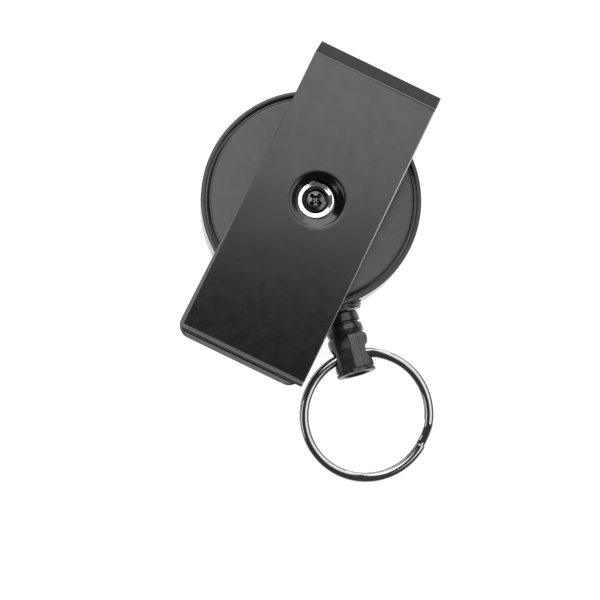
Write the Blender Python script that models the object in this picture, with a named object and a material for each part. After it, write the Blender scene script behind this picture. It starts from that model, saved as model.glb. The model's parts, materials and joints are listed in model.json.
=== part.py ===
"""Retractable badge reel with a swivelling belt clip, a cord, an end fitting and a split ring.

Metres, +Z up. The case lies on its front face at z = 0, its centre line is the Z axis, and the
cord leaves towards -Y. Lengths below are in millimetres and become metres in `finish`.
"""

import math

import bmesh
import bpy
from mathutils import Matrix, Vector

MM = 0.001
GAP = 0.3  # left between pieces that touch or run on each other

# Case
CASE_R = 22.5
CASE_TOP = 12.6
EDGE_R = 5.0  # rounding of the front edge
FLOOR = 1.6
WALL_IN = 20.6
SEAT_R = 21.55
SEAT_Z = 11.1
COVER_R = 21.25
COVER_LOW = 11.4

# Mechanism: the spindle stands a little off the case's centre
SPINDLE_X = 0.48
SPINDLE_Y = -0.76
POST_R = 2.0
POST_TOP = 11.1
SPOOL_R = 19.2
DRUM_R = 13.0
BARREL_R = 12.0
SPOOL_LOW = 3.3
FLANGE_TOP = 9.4
BARREL_TOP = 9.6

# Cord
CORD_R = 0.5
CORD_Z = 6.5
WOUND_R = 15.7
LEAD_R = WOUND_R + GAP + CORD_R

# Outlet and end fitting, as distances from the case's centre line towards -Y
OUTLET_FACE = 21.7
FITTING_START = 23.7
FITTING_END = 36.5
FACETS = ((112, 21), (77, 13), (40, 24))  # direction and half width of each flat, in degrees
FACETS_FROM = 28.4
FACETS_TO = 35.6
FITTING_PITCH = 3.0  # degrees that the fitting's free end is cocked up
EYE_AT = 32.3
EYE_R = 2.0

# Split ring
RING_R = 12.9  # to the middle of the wire
RING_DROOP = 12.6  # degrees below level, so that the far side rests on the floor
WIRE_WIDE = 1.8
WIRE_TALL = 1.0
WIRE_PITCH = 1.15
RING_STEP_AT = -31.5  # direction of the step between the two turns, in degrees
RING_STEP = 20.0

# Belt clip, in its own directions: y towards the bend, then turned about the spindle
CLIP_TURN = -40.9
SHEET = 0.9
CLIP_HALF = 13.5
LEAF_SHIFT = 0.5  # the outer leaf stands this much to one side of the screw
INNER_SHIFT = -0.4  # and the inner leaf's free end this much, to the other side
INNER_LOW = 13.7
INNER_END = -36.4
INNER_CORNER = 2.8
LEAF_HOLE_R = 2.5
SPLIT_AT = 28.4  # the flat strip's bend line
LOWER_BEND = 30.35
UPPER_BEND = (26.1, 22.05)
LIP_START = (-34.6, 15.485)
LIP_END = (-35.35, 15.8)
DIMPLE_AT = (0.4, -0.4)
DIMPLE_R = 5.55
DIMPLE_HOLE_R = 4.05
DIMPLE_DEEP = 0.9

# Screw stack
SCREW_R = 1.1
SCREW_HEAD_R = 2.4
WASHER_R = 3.8
RECESS_TURN = 30.2

SPINDLE = Vector((SPINDLE_X, SPINDLE_Y, 0.0))
TURN_CLIP = Matrix.Translation(SPINDLE) @ Matrix.Rotation(math.radians(CLIP_TURN), 4, "Z")
ALONG_CORD = Matrix.Translation((0, 0, CORD_Z)) @ Matrix.Rotation(math.radians(90), 4, "X")
FITTING_ROOT = Matrix.Translation((0, -FITTING_START, CORD_Z))
COCK_UP = FITTING_ROOT @ Matrix.Rotation(math.radians(-FITTING_PITCH), 4, "X") @ FITTING_ROOT.inverted()
ALONG_FITTING = COCK_UP @ ALONG_CORD

LOOKS = {
    "black_plastic": ((0.022, 0.022, 0.024), 0.0, 0.38),
    "soft_black_plastic": ((0.030, 0.030, 0.032), 0.0, 0.45),
    "satin_black_metal": ((0.045, 0.045, 0.048), 0.6, 0.40),
    "coated_spring_steel": ((0.035, 0.035, 0.038), 0.5, 0.36),
    "dark_chrome": ((0.30, 0.30, 0.31), 1.0, 0.14),
    "bright_nickel": ((0.80, 0.80, 0.80), 1.0, 0.16),
    "zinc_steel": ((0.48, 0.48, 0.50), 1.0, 0.28),
    "black_zinc": ((0.075, 0.075, 0.077), 1.0, 0.25),
    "white_acetal": ((0.78, 0.78, 0.74), 0.0, 0.42),
    "blued_steel": ((0.16, 0.18, 0.24), 0.9, 0.30),
    "black_cord": ((0.025, 0.025, 0.028), 0.0, 0.80),
    "brass": ((0.62, 0.46, 0.20), 1.0, 0.30),
}


def clear_scene():
    for item in list(bpy.data.objects):
        bpy.data.objects.remove(item, do_unlink=True)
    for group in list(bpy.data.collections):
        bpy.data.collections.remove(group)


def make_collection(name):
    group = bpy.data.collections.new(name)
    bpy.context.scene.collection.children.link(group)
    return group


clear_scene()
PARTS = make_collection("badge_reel")
CUTTERS = make_collection("cutters")
CUTTERS.hide_render = True


def material_for(name, look):
    """A Principled material of the piece's own."""
    colour, metallic, roughness = LOOKS[look]
    surface = bpy.data.materials.new(name + "_" + look)
    surface.use_nodes = True
    shader = surface.node_tree.nodes["Principled BSDF"]
    shader.inputs["Base Color"].default_value = (*colour, 1.0)
    shader.inputs["Metallic"].default_value = metallic
    shader.inputs["Roughness"].default_value = roughness
    return surface


def finish(bm, name, look, place=None, origin=(0.0, 0.0, 0.0)):
    """Turn a bmesh in millimetres into an object in metres with its origin at `origin`."""
    if place is not None:
        bm.transform(place)
    bm.transform(Matrix.Translation(-Vector(origin)))
    bm.transform(Matrix.Scale(MM, 4))
    bmesh.ops.recalc_face_normals(bm, faces=bm.faces)
    mesh = bpy.data.meshes.new(name)
    bm.to_mesh(mesh)
    bm.free()
    piece = bpy.data.objects.new(name, mesh)
    piece.location = Vector(origin) * MM
    if look is None:
        CUTTERS.objects.link(piece)
        piece.hide_render = True
        piece.display_type = "WIRE"
        return piece
    PARTS.objects.link(piece)
    mesh.materials.append(material_for(name, look))
    mesh.polygons.foreach_set("use_smooth", [True] * len(mesh.polygons))
    mesh.set_sharp_from_angle(angle=math.radians(35))
    return piece


def turned(name, profile, look, segments=48, place=None, origin=(0.0, 0.0, 0.0), share=None):
    """A solid of revolution from a closed outline of (radius, height) corners.

    `share(radius, angle, height)`, if given, is the part of the radius that is kept there.
    """
    bm = bmesh.new()
    rows = []
    for radius, height in profile:
        if radius < 1e-6:
            rows.append([bm.verts.new((0.0, 0.0, height))])
            continue
        row = []
        for k in range(segments):
            angle = 2 * math.pi * k / segments
            reach = radius * (share(radius, angle, height) if share else 1.0)
            row.append(bm.verts.new((reach * math.cos(angle), reach * math.sin(angle), height)))
        rows.append(row)
    for low, high in zip(rows, rows[1:] + rows[:1]):
        if len(low) == 1 and len(high) == 1:
            continue
        for k in range(segments):
            n = (k + 1) % segments
            loop = [low[k % len(low)], low[n % len(low)], high[n % len(high)], high[k % len(high)]]
            bm.faces.new(list(dict.fromkeys(loop)))
    return finish(bm, name, look, place, origin)


def prism(name, outline, low, high, look, place=None, origin=(0.0, 0.0, 0.0)):
    """An outline in x and y, carried from height low to height high."""
    bm = bmesh.new()
    bottom = [bm.verts.new((x, y, low)) for x, y in outline]
    top = [bm.verts.new((x, y, high)) for x, y in outline]
    bm.faces.new(bottom)
    bm.faces.new(top)
    count = len(outline)
    for k in range(count):
        n = (k + 1) % count
        bm.faces.new([bottom[k], bottom[n], top[n], top[k]])
    return finish(bm, name, look, place, origin)


def swept(name, path, section, look, place=None, origin=(0.0, 0.0, 0.0)):
    """A section of (sideways, upwards) corners carried along a path that stays nearly level."""
    bm = bmesh.new()
    rows = []
    for k, point in enumerate(path):
        here = Vector(point)
        ahead = Vector(path[min(k + 1, len(path) - 1)]) - Vector(path[max(k - 1, 0)])
        ahead.z = 0.0
        ahead.normalize()
        side = Vector((-ahead.y, ahead.x, 0.0))
        rows.append([bm.verts.new(here + side * a + Vector((0, 0, b))) for a, b in section])
    for low, high in zip(rows, rows[1:]):
        for k in range(len(section)):
            n = (k + 1) % len(section)
            bm.faces.new([low[k], low[n], high[n], high[k]])
    bm.faces.new(rows[0])
    bm.faces.new(rows[-1])
    return finish(bm, name, look, place, origin)


def frame_circle(bm, corners, circle):
    """Faces between four corners, anticlockwise, and a circle of vertices inside them."""
    count = len(circle)
    nearest = []
    for corner in corners:
        nearest.append(min(range(count), key=lambda k: (circle[k].co - corner.co).length))
    for k in range(4):
        n = (k + 1) % 4
        steps = (nearest[n] - nearest[k]) % count
        around = [circle[(nearest[n] - s) % count] for s in range(steps + 1)]
        bm.faces.new([corners[k], corners[n]] + around)


def holed_plate(name, stations, bay, hole_r, low, high, look, place=None, origin=(0.0, 0.0, 0.0)):
    """A flat plate given by its left and right edges at stations (y, left, right).

    The bay after station number `bay` has a round hole about the local Z axis.
    """
    bm = bmesh.new()
    rows = []
    for y, left, right in stations:
        corners = ((left, low), (right, low), (right, high), (left, high))
        rows.append([bm.verts.new((x, y, z)) for x, z in corners])
    for number, (here, beyond) in enumerate(zip(rows, rows[1:])):
        for k in range(4):
            n = (k + 1) % 4
            if number == bay and k in (0, 2):
                continue
            bm.faces.new([here[k], here[n], beyond[n], beyond[k]])
    bm.faces.new(rows[0])
    bm.faces.new(rows[-1])
    here = rows[bay]
    beyond = rows[bay + 1]
    hole = arc((0.0, 0.0), hole_r, 0, 348.75, 31)
    lower = [bm.verts.new((x, y, low)) for x, y in hole]
    upper = [bm.verts.new((x, y, high)) for x, y in hole]
    frame_circle(bm, [here[0], here[1], beyond[1], beyond[0]], lower)
    frame_circle(bm, [here[3], here[2], beyond[2], beyond[3]], upper)
    for k in range(len(hole)):
        n = (k + 1) % len(hole)
        bm.faces.new([lower[k], lower[n], upper[n], upper[k]])
    return finish(bm, name, look, place, origin)


def box_outline(x0, x1, y0, y1):
    return [(x0, y0), (x1, y0), (x1, y1), (x0, y1)]


def arc(centre, radius, start, end, steps):
    """Points on an arc in the plane, angles in degrees."""
    points = []
    for k in range(steps + 1):
        angle = math.radians(start + (end - start) * k / steps)
        points.append((centre[0] + radius * math.cos(angle), centre[1] + radius * math.sin(angle)))
    return points


def combine(piece, other, operation):
    """Cut `other` out of `piece`, or join it to it."""
    step = piece.modifiers.new(operation.lower() + "_" + other.name, "BOOLEAN")
    step.operation = operation
    step.solver = "EXACT"
    step.object = other


def thick_line(middle, thickness):
    """The closed outline of a bent strip, from its middle line."""
    left = []
    right = []
    for k, point in enumerate(middle):
        here = Vector(point)
        before = here - Vector(middle[k - 1]) if k > 0 else None
        after = Vector(middle[k + 1]) - here if k < len(middle) - 1 else None
        if before is None:
            before = after
        if after is None:
            after = before
        n1 = Vector((-before.y, before.x)).normalized()
        n2 = Vector((-after.y, after.x)).normalized()
        mitre = (n1 + n2).normalized()
        reach = 0.5 * thickness / mitre.dot(n1)
        left.append(tuple(here + mitre * reach))
        right.append(tuple(here - mitre * reach))
    return left + right[::-1]


def bent_line(corners, radii, steps=5):
    """A line through corners, each rounded to its radius."""
    points = [tuple(corners[0])]
    for k in range(1, len(corners) - 1):
        a = Vector(corners[k - 1])
        b = Vector(corners[k])
        c = Vector(corners[k + 1])
        back = (a - b).normalized()
        on = (c - b).normalized()
        half = back.angle(on) / 2
        reach = radii[k - 1] / math.tan(half)
        centre = b + (back + on).normalized() * (radii[k - 1] / math.sin(half))
        first = b + back * reach - centre
        last = b + on * reach - centre
        swing = first.angle_signed(last)
        for s in range(steps + 1):
            turn = Matrix.Rotation(-swing * s / steps, 2)
            points.append(tuple(centre + turn @ first))
    points.append(tuple(corners[-1]))
    return points


# ---------------------------------------------------------------- case

shell_outline = [(0.0, 0.0)]
shell_outline += arc((CASE_R - EDGE_R, EDGE_R), EDGE_R, -90, 0, 6)
shell_outline += [
    (CASE_R, CASE_TOP - 0.6),
    (CASE_R - 0.12, CASE_TOP - 0.22),
    (CASE_R - 0.4, CASE_TOP),
    (SEAT_R, CASE_TOP),
    (SEAT_R, SEAT_Z),
    (WALL_IN, SEAT_Z),
    (WALL_IN, FLOOR + 1.8),
    (WALL_IN - 1.8, FLOOR),
    (0.0, FLOOR),
]
front_shell = turned("front_shell", shell_outline, "black_plastic", 72)
outlet_hole = turned("outlet_hole", [(0, 18), (2.6, 18), (2.6, 24), (0, 24)], None, 32, ALONG_CORD)
combine(front_shell, outlet_hole, "DIFFERENCE")
face_profile = [(0, OUTLET_FACE), (5.05, OUTLET_FACE), (5.05, 24), (0, 24)]
outlet_face = turned("outlet_face", face_profile, None, 40, ALONG_CORD)
combine(front_shell, outlet_face, "DIFFERENCE")

cover_outline = [
    (0.0, COVER_LOW),
    (COVER_R, COVER_LOW),
    (COVER_R, CASE_TOP - 0.4),
    (COVER_R - 0.4, CASE_TOP),
    (0.0, CASE_TOP),
]
back_cover = turned("back_cover", cover_outline, "satin_black_metal", 72)
screw_way = [(0, 10.5), (1.5, 10.5), (1.5, 13.5), (0, 13.5)]
cover_hole = turned("cover_hole", screw_way, None, 32, Matrix.Translation(SPINDLE))
combine(back_cover, cover_hole, "DIFFERENCE")

bushing_outline = [
    (2.3, 20.9),
    (2.3, OUTLET_FACE + GAP),
    (4.55, OUTLET_FACE + GAP),
    (4.75, OUTLET_FACE + GAP + 0.2),
    (4.75, FITTING_START - GAP - 0.25),
    (4.5, FITTING_START - GAP),
    (1.5, FITTING_START - GAP),
    (0.95, 22.9),
    (0.95, 21.4),
    (1.3, 20.9),
]
turned("outlet_bushing", bushing_outline, "soft_black_plastic", 40, ALONG_CORD)

# ---------------------------------------------------------------- spindle and washers

ON_SPINDLE = Matrix.Translation(SPINDLE)
AXIS = (SPINDLE_X, SPINDLE_Y, 0.0)

spindle_outline = [
    (0.0, FLOOR + GAP),
    (3.4, FLOOR + GAP),
    (3.4, 2.3),
    (POST_R, 2.3),
    (POST_R, POST_TOP - 0.2),
    (POST_R - 0.2, POST_TOP),
    (SCREW_R + GAP, POST_TOP),
    (SCREW_R + GAP, 6.3),
    (0.0, 6.0),
]
spindle = turned("spindle", spindle_outline, "zinc_steel", 32, ON_SPINDLE, AXIS)
slot = prism("spring_slot", box_outline(1.0, 2.6, -0.45, 0.45), 4.3, 9.5, None, ON_SPINDLE)
combine(spindle, slot, "DIFFERENCE")


def washer(name, inner, outer, low, high, look, segments=36):
    outline = [(inner, low), (outer, low), (outer, high), (inner, high)]
    return turned(name, outline, look, segments, ON_SPINDLE, AXIS)


washer("front_thrust_washer", POST_R + GAP, 6.5, 2.6, 3.0, "white_acetal")
washer("back_thrust_washer", POST_R + GAP, 6.5, 10.8, 11.1, "white_acetal")

# ---------------------------------------------------------------- spool, spring and cord

spool_outline = [
    (POST_R + GAP, SPOOL_LOW),
    (SPOOL_R, SPOOL_LOW),
    (SPOOL_R, SPOOL_LOW + 0.9),
    (DRUM_R, SPOOL_LOW + 0.9),
    (DRUM_R, FLANGE_TOP - 0.6),
    (SPOOL_R, FLANGE_TOP - 0.6),
    (SPOOL_R, FLANGE_TOP),
    (DRUM_R, FLANGE_TOP),
    (DRUM_R, BARREL_TOP),
    (BARREL_R, BARREL_TOP),
    (BARREL_R, SPOOL_LOW + 0.9),
    (POST_R + GAP, SPOOL_LOW + 0.9),
]
spool = turned("spool", spool_outline, "white_acetal", 64, ON_SPINDLE, AXIS)
notch_outline = box_outline(11.4, 12.7, -0.45, 0.45)
notch = prism("spring_notch", notch_outline, 4.4, 10.2, None, ON_SPINDLE)
combine(spool, notch, "DIFFERENCE")
KNOT_AT = Matrix.Translation(SPINDLE + Vector((-11.0, 9.1, 0.0)))
knot_way = turned("knot_hole", [(0, 8), (0.75, 8), (0.75, 10), (0, 10)], None, 16, KNOT_AT)
combine(spool, knot_way, "DIFFERENCE")

lid_outline = [(2.3, 9.9), (12.9, 9.9), (12.9, 10.3), (12.7, 10.5), (2.3, 10.5)]
turned("spring_cover", lid_outline, "zinc_steel", 48, ON_SPINDLE, AXIS)

SPRING_TURNS = 9
SPRING_STEPS = 24
spring_path = [(1.65, 0.0, 0.0), (2.45, 0.0, 0.0)]
for k in range(1, SPRING_TURNS * SPRING_STEPS + 1):
    share = k / (SPRING_TURNS * SPRING_STEPS)
    radius = 2.75 + (11.45 - 2.75) * share
    angle = 2 * math.pi * k / SPRING_STEPS
    if k == SPRING_TURNS * SPRING_STEPS:
        break
    spring_path.append((radius * math.cos(angle), radius * math.sin(angle), 0.0))
spring_path += [(11.75, 0.0, 0.0), (12.35, 0.0, 0.0)]
spring_section = [(-0.15, 4.6), (0.15, 4.6), (0.15, 9.2), (-0.15, 9.2)]
swept("mainspring", spring_path, spring_section, "blued_steel", ON_SPINDLE, AXIS)

winding_outline = [(DRUM_R + GAP, 4.5)]
for k in range(4):
    middle = (WOUND_R - CORD_R, 5.0 + k)
    winding_outline += arc(middle, CORD_R, -78, 78, 4)
winding_outline.append((DRUM_R + GAP, 8.5))
turned("cord_winding", winding_outline, "black_cord", 48, ON_SPINDLE, AXIS)

knot_outline = [(0.0, 8.8), (0.45, 8.8), (0.45, 9.8), (0.7, 10.15), (0.7, 10.6), (0.4, 11.05), (0.0, 11.1)]
turned("anchor_knot", knot_outline, "black_cord", 16, KNOT_AT, AXIS)


def lead_path():
    """From the winding's rim along a tangent, round into the outlet and out to the fitting."""
    corner = Vector((0.0, -19.4))
    hub = Vector((SPINDLE_X, SPINDLE_Y))
    away = corner - hub
    toward = math.atan2(away.y, away.x)
    open_angle = math.acos(LEAD_R / away.length)
    leave = toward + open_angle
    points = []
    for k in range(6):
        angle = leave + math.radians(30 - 6 * k)
        points.append((hub.x + LEAD_R * math.cos(angle), hub.y + LEAD_R * math.sin(angle)))
    tangent = Vector(points[-1])
    tangent_end = hub + Vector((math.cos(leave), math.sin(leave))) * LEAD_R
    points.append(tuple(tangent_end))
    bend = bent_line([tuple(tangent), tuple(corner), (0.0, -FITTING_START)], [2.0], 5)
    level = [(x, y, CORD_Z) for x, y in points + bend[1:]]
    return level + [tuple(COCK_UP @ Vector((0.0, y, CORD_Z))) for y in (-25.0, -29.0)]


cord_section = arc((0.0, 0.0), CORD_R, 0, 315, 7)
swept("cord_lead", lead_path(), cord_section, "black_cord")

# ---------------------------------------------------------------- end fitting

fitting_outline = [
    (0.8, FITTING_START),
    (3.2, FITTING_START),
    (3.5, FITTING_START + 0.25),
    (3.6, 25.7),
    (3.15, 25.9),
    (3.15, 26.15),
    (3.7, 26.4),
    (3.85, 27.5),
    (3.55, 27.7),
    (3.85, 27.95),
    (3.4, 28.25),
    (3.95, 28.7),
    (4.12, 29.3),
    (4.0, 30.1),
    (3.85, 31.3),
    (3.85, 33.4),
    (4.0, 35.5),
    (3.75, 35.65),
    (3.75, 35.8),
    (4.05, 35.95),
    (4.05, FITTING_END - 0.15),
    (3.9, FITTING_END),
    (2.6, FITTING_END),
    (2.6, 29.9),
    (1.9, 29.6),
    (1.9, 26.9),
    (0.8, 26.6),
]
EYE = tuple(COCK_UP @ Vector((0.0, -EYE_AT, CORD_Z)))


def faceted(radius, angle, height):
    """Flats along the fitting's back and front, between its collar and its end ring."""
    if radius < 3.0 or not FACETS_FROM < height < FACETS_TO:
        return 1.0
    turn = abs(math.degrees(math.remainder(angle, 2 * math.pi)))
    for direction, half in FACETS:
        if abs(turn - direction) <= half:
            return math.cos(math.radians(half)) / math.cos(math.radians(turn - direction))
    return 1.0


end_fitting = turned(
    "end_fitting",
    fitting_outline,
    "soft_black_plastic",
    40,
    ALONG_FITTING,
    EYE,
    faceted,
)
ACROSS = Matrix.Translation(EYE) @ Matrix.Rotation(math.radians(90), 4, "Y")
eye_hole = turned("eye_hole", [(0, -6), (EYE_R, -6), (EYE_R, 6), (0, 6)], None, 28, ACROSS)
combine(end_fitting, eye_hole, "DIFFERENCE")

ferrule_outline = [(0.8, 27.2), (1.4, 27.2), (1.55, 27.4), (1.55, 29.1), (1.4, 29.3), (0.8, 29.3)]
turned("crimp_ferrule", ferrule_outline, "brass", 24, ALONG_FITTING, EYE)

# ---------------------------------------------------------------- split ring

RING_AROUND = 56  # steps in one turn
ring_path = []
first = RING_STEP_AT + RING_STEP / 2 + 2
last = RING_STEP_AT + 720 - RING_STEP / 2 - 2
count = round(RING_AROUND * (last - first) / 360)
for k in range(count + 1):
    degrees = first + (last - first) * k / count
    climb = (degrees - (RING_STEP_AT + 360 - RING_STEP / 2)) / RING_STEP
    climb = min(max(climb, 0.0), 1.0)
    lift = WIRE_PITCH * (climb * climb * (3 - 2 * climb) - 0.5)
    angle = math.radians(degrees)
    ring_path.append((RING_R * math.cos(angle), RING_R * math.sin(angle) - RING_R, lift))
ring_section = []
for x, y in ((1, 1), (-1, 1), (-1, -1), (1, -1)):
    turn = {(1, 1): 0, (-1, 1): 90, (-1, -1): 180, (1, -1): 270}[(x, y)]
    centre = (x * (WIRE_WIDE / 2 - 0.45), y * (WIRE_TALL / 2 - 0.45))
    ring_section += arc(centre, 0.45, turn, turn + 90, 3)
DROOP = Matrix.Translation(EYE) @ Matrix.Rotation(math.radians(RING_DROOP), 4, "X")
swept("split_ring", ring_path, ring_section, "dark_chrome", DROOP, EYE)

# ---------------------------------------------------------------- belt clip

INNER_TOP = INNER_LOW + SHEET
inner_middle = INNER_LOW + SHEET / 2

# Stations along the leaf: (y, left edge, right edge), the free end first with its corners rounded
left_end = -CLIP_HALF + INNER_SHIFT
right_end = CLIP_HALF + INNER_SHIFT
leaf_stations = []
for k in range(6):
    angle = math.radians(18 * k)
    inset = INNER_CORNER * (1 - math.sin(angle))
    along = INNER_END + INNER_CORNER * (1 - math.cos(angle))
    leaf_stations.append((along, left_end + inset, right_end - inset))
straight_from = INNER_END + INNER_CORNER
HOLE_BAY = len(leaf_stations)
for along in (-8.0, 8.0, 25.0, SPLIT_AT - GAP / 2):
    share = (along - straight_from) / (SPLIT_AT - GAP / 2 - straight_from)
    skew = (LEAF_SHIFT - INNER_SHIFT) * share
    leaf_stations.append((along, left_end + skew, right_end + skew))
holed_plate(
    "clip_inner_leaf",
    leaf_stations,
    HOLE_BAY,
    LEAF_HOLE_R,
    INNER_LOW,
    INNER_TOP,
    "coated_spring_steel",
    TURN_CLIP,
    AXIS,
)

# Middle line of the web and outer leaf, seen from the side: (y, z)
leaf_line = bent_line(
    [
        (SPLIT_AT + GAP / 2, inner_middle),
        (LOWER_BEND, inner_middle),
        UPPER_BEND,
        LIP_START,
        LIP_END,
    ],
    [0.75, 0.75, 1.2],
    5,
)
side_to_clip = Matrix(((0, 0, 1, 0), (1, 0, 0, 0), (0, 1, 0, 0), (0, 0, 0, 1)))
HINGE = TURN_CLIP @ Vector((0.0, SPLIT_AT, inner_middle))
outer_leaf = prism(
    "clip_outer_leaf",
    thick_line(leaf_line, SHEET),
    -CLIP_HALF + LEAF_SHIFT,
    CLIP_HALF + LEAF_SHIFT,
    "coated_spring_steel",
    TURN_CLIP @ side_to_clip,
    HINGE,
)
slope = math.atan2(UPPER_BEND[1] - LIP_START[1], UPPER_BEND[0] - LIP_START[0])
middle_height = LIP_START[1] + (DIMPLE_AT[1] - LIP_START[0]) * math.tan(slope)
LEAF_AXIS = (
    TURN_CLIP
    @ Matrix.Translation((*DIMPLE_AT, middle_height))
    @ Matrix.Rotation(slope, 4, "X")
)
dimple_way = turned("dimple_way", [(0, -3), (5.6, -3), (5.6, 3), (0, 3)], None, 40, LEAF_AXIS)
combine(outer_leaf, dimple_way, "DIFFERENCE")
top = SHEET / 2
funnel_outline = [
    (DIMPLE_R + 0.7, top - 0.06),
    (DIMPLE_R, top - 0.06),
    (DIMPLE_R - 0.3, top - 0.2),
    (DIMPLE_HOLE_R + 0.5, top - DIMPLE_DEEP + 0.2),
    (DIMPLE_HOLE_R, top - DIMPLE_DEEP),
    (DIMPLE_HOLE_R, top - DIMPLE_DEEP - 0.5),
    (DIMPLE_HOLE_R + 0.45, top - DIMPLE_DEEP - 0.5),
    (DIMPLE_R + 0.1, -top - 0.25),
    (DIMPLE_R + 0.5, -top + 0.06),
    (DIMPLE_R + 0.7, -top + 0.06),
]
funnel = turned("dimple_wall", funnel_outline, None, 40, LEAF_AXIS)
combine(outer_leaf, funnel, "UNION")

# ---------------------------------------------------------------- screw stack

washer("friction_washer", LEAF_HOLE_R, 7.0, 12.9, 13.4, "white_acetal", 48)
washer("pivot_bush", SCREW_R + GAP, 2.2, 12.9, 14.6, "brass", 32)

cup_outline = [
    (1.62, 14.9),
    (3.3, 14.9),
    (3.6, 15.1),
    (WASHER_R, 15.4),
    (WASHER_R, 16.0),
    (3.65, 16.15),
    (3.45, 16.15),
    (2.85, 15.87),
    (2.72, 15.785),
    (1.62, 14.96),
]
turned("cup_washer", cup_outline, "bright_nickel", 40, ON_SPINDLE, AXIS)

screw_outline = [
    (0.0, 7.0),
    (SCREW_R, 7.0),
    (SCREW_R, 14.95),
    (SCREW_HEAD_R - 0.1, 15.85),
    (SCREW_HEAD_R, 15.97),
    (SCREW_HEAD_R - 0.15, 16.1),
    (1.7, 16.28),
    (0.9, 16.4),
    (0.0, 16.44),
]
clip_screw = turned("clip_screw", screw_outline, "black_zinc", 40, ON_SPINDLE, AXIS)
ARM = 1.5
SIDE = 0.36
cross_outline = [
    (ARM, -SIDE),
    (ARM, SIDE),
    (SIDE, SIDE),
    (SIDE, ARM),
    (-SIDE, ARM),
    (-SIDE, SIDE),
    (-ARM, SIDE),
    (-ARM, -SIDE),
    (-SIDE, -SIDE),
    (-SIDE, -ARM),
    (SIDE, -ARM),
    (SIDE, -SIDE),
]
cross_at = ON_SPINDLE @ Matrix.Rotation(math.radians(RECESS_TURN), 4, "Z")
recess = prism("cross_recess", cross_outline, 15.45, 17.5, None, cross_at)
combine(clip_screw, recess, "DIFFERENCE")
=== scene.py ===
import json
import math

import bmesh
import bpy
from mathutils import Matrix, Vector


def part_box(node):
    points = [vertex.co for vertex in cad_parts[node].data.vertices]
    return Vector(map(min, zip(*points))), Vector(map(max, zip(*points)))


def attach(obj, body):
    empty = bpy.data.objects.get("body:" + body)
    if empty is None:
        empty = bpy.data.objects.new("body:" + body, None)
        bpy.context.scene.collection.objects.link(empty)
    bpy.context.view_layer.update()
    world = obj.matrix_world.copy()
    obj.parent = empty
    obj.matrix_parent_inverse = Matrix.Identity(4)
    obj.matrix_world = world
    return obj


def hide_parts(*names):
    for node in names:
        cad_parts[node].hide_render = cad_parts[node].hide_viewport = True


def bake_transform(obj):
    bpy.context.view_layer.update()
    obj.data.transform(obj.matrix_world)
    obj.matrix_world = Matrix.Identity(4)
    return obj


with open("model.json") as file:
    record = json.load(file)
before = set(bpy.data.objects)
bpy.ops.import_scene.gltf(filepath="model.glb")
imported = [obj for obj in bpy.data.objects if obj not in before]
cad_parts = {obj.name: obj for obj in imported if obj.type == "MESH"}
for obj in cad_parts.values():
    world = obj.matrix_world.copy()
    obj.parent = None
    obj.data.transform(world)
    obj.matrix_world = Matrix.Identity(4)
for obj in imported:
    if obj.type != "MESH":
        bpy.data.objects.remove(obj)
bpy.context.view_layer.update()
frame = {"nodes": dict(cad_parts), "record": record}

MM = 0.001
JOINTS = {joint["name"]: joint for joint in frame["record"]["behaviour"]["joints"]}


def in_mm(point):
    return Vector(point) * 1000.0


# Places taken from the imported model, in millimetres
CASE_HIGH = in_mm(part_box("front_shell")[1])
CASE_R = CASE_HIGH.x
CASE_TOP = CASE_HIGH.z
COVER_R = in_mm(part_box("back_cover")[1]).x
COVER_LOW = in_mm(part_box("back_cover")[0]).z
SPINDLE = in_mm(JOINTS["clip_swivel"]["pos_m"])
EYE = in_mm(JOINTS["ring_swing"]["pos_m"])
FOLD_AXIS = Vector(JOINTS["clip_flex"]["axis"])
CORD_Z = (in_mm(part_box("outlet_bushing")[0]).z + in_mm(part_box("outlet_bushing")[1]).z) / 2
SHEET_LOW = in_mm(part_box("clip_inner_leaf")[0]).z
SHEET_TOP = in_mm(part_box("clip_inner_leaf")[1]).z
CLIP_YAW = math.atan2(-FOLD_AXIS.y, -FOLD_AXIS.x)

TURN_CLIP = Matrix.Translation((SPINDLE.x, SPINDLE.y, 0)) @ Matrix.Rotation(CLIP_YAW, 4, "Z")
ON_SPINDLE = Matrix.Translation((SPINDLE.x, SPINDLE.y, 0))
ALONG_CORD = Matrix.Translation((0, 0, CORD_Z)) @ Matrix.Rotation(math.radians(90), 4, "X")

# The belt clip's width, its outer leaf's shift to one side, and the painted highlight line along one edge of
# that leaf
CLIP_HALF = 13.5
OUTER_SHIFT = 0.5
HIGHLIGHT_LINE_WIDE = 0.2
HIGHLIGHT_LINE_ABOVE = 0.3
CLIP_ACROSS = Vector((math.cos(CLIP_YAW), math.sin(CLIP_YAW), 0.0))
LEAF_EDGE = SPINDLE.xy.dot(CLIP_ACROSS.xy) + OUTER_SHIFT + CLIP_HALF
HIGHLIGHT_LINE_U = (LEAF_EDGE - HIGHLIGHT_LINE_WIDE) * MM
HIGHLIGHT_LINE_Z = (SHEET_TOP + HIGHLIGHT_LINE_ABOVE) * MM

# The end fitting's two ends along the cord, and how far it is cocked up
FITTING_START = 23.7
FITTING_END = 36.5
FITTING_PITCH = math.radians(3.0)
FITTING_ROOT = Matrix.Translation((0, -FITTING_START, CORD_Z))
COCK_UP = FITTING_ROOT @ Matrix.Rotation(-FITTING_PITCH, 4, "X") @ FITTING_ROOT.inverted()
ALONG_FITTING = COCK_UP @ ALONG_CORD

# ---------------------------------------------------------------- materials


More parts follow.
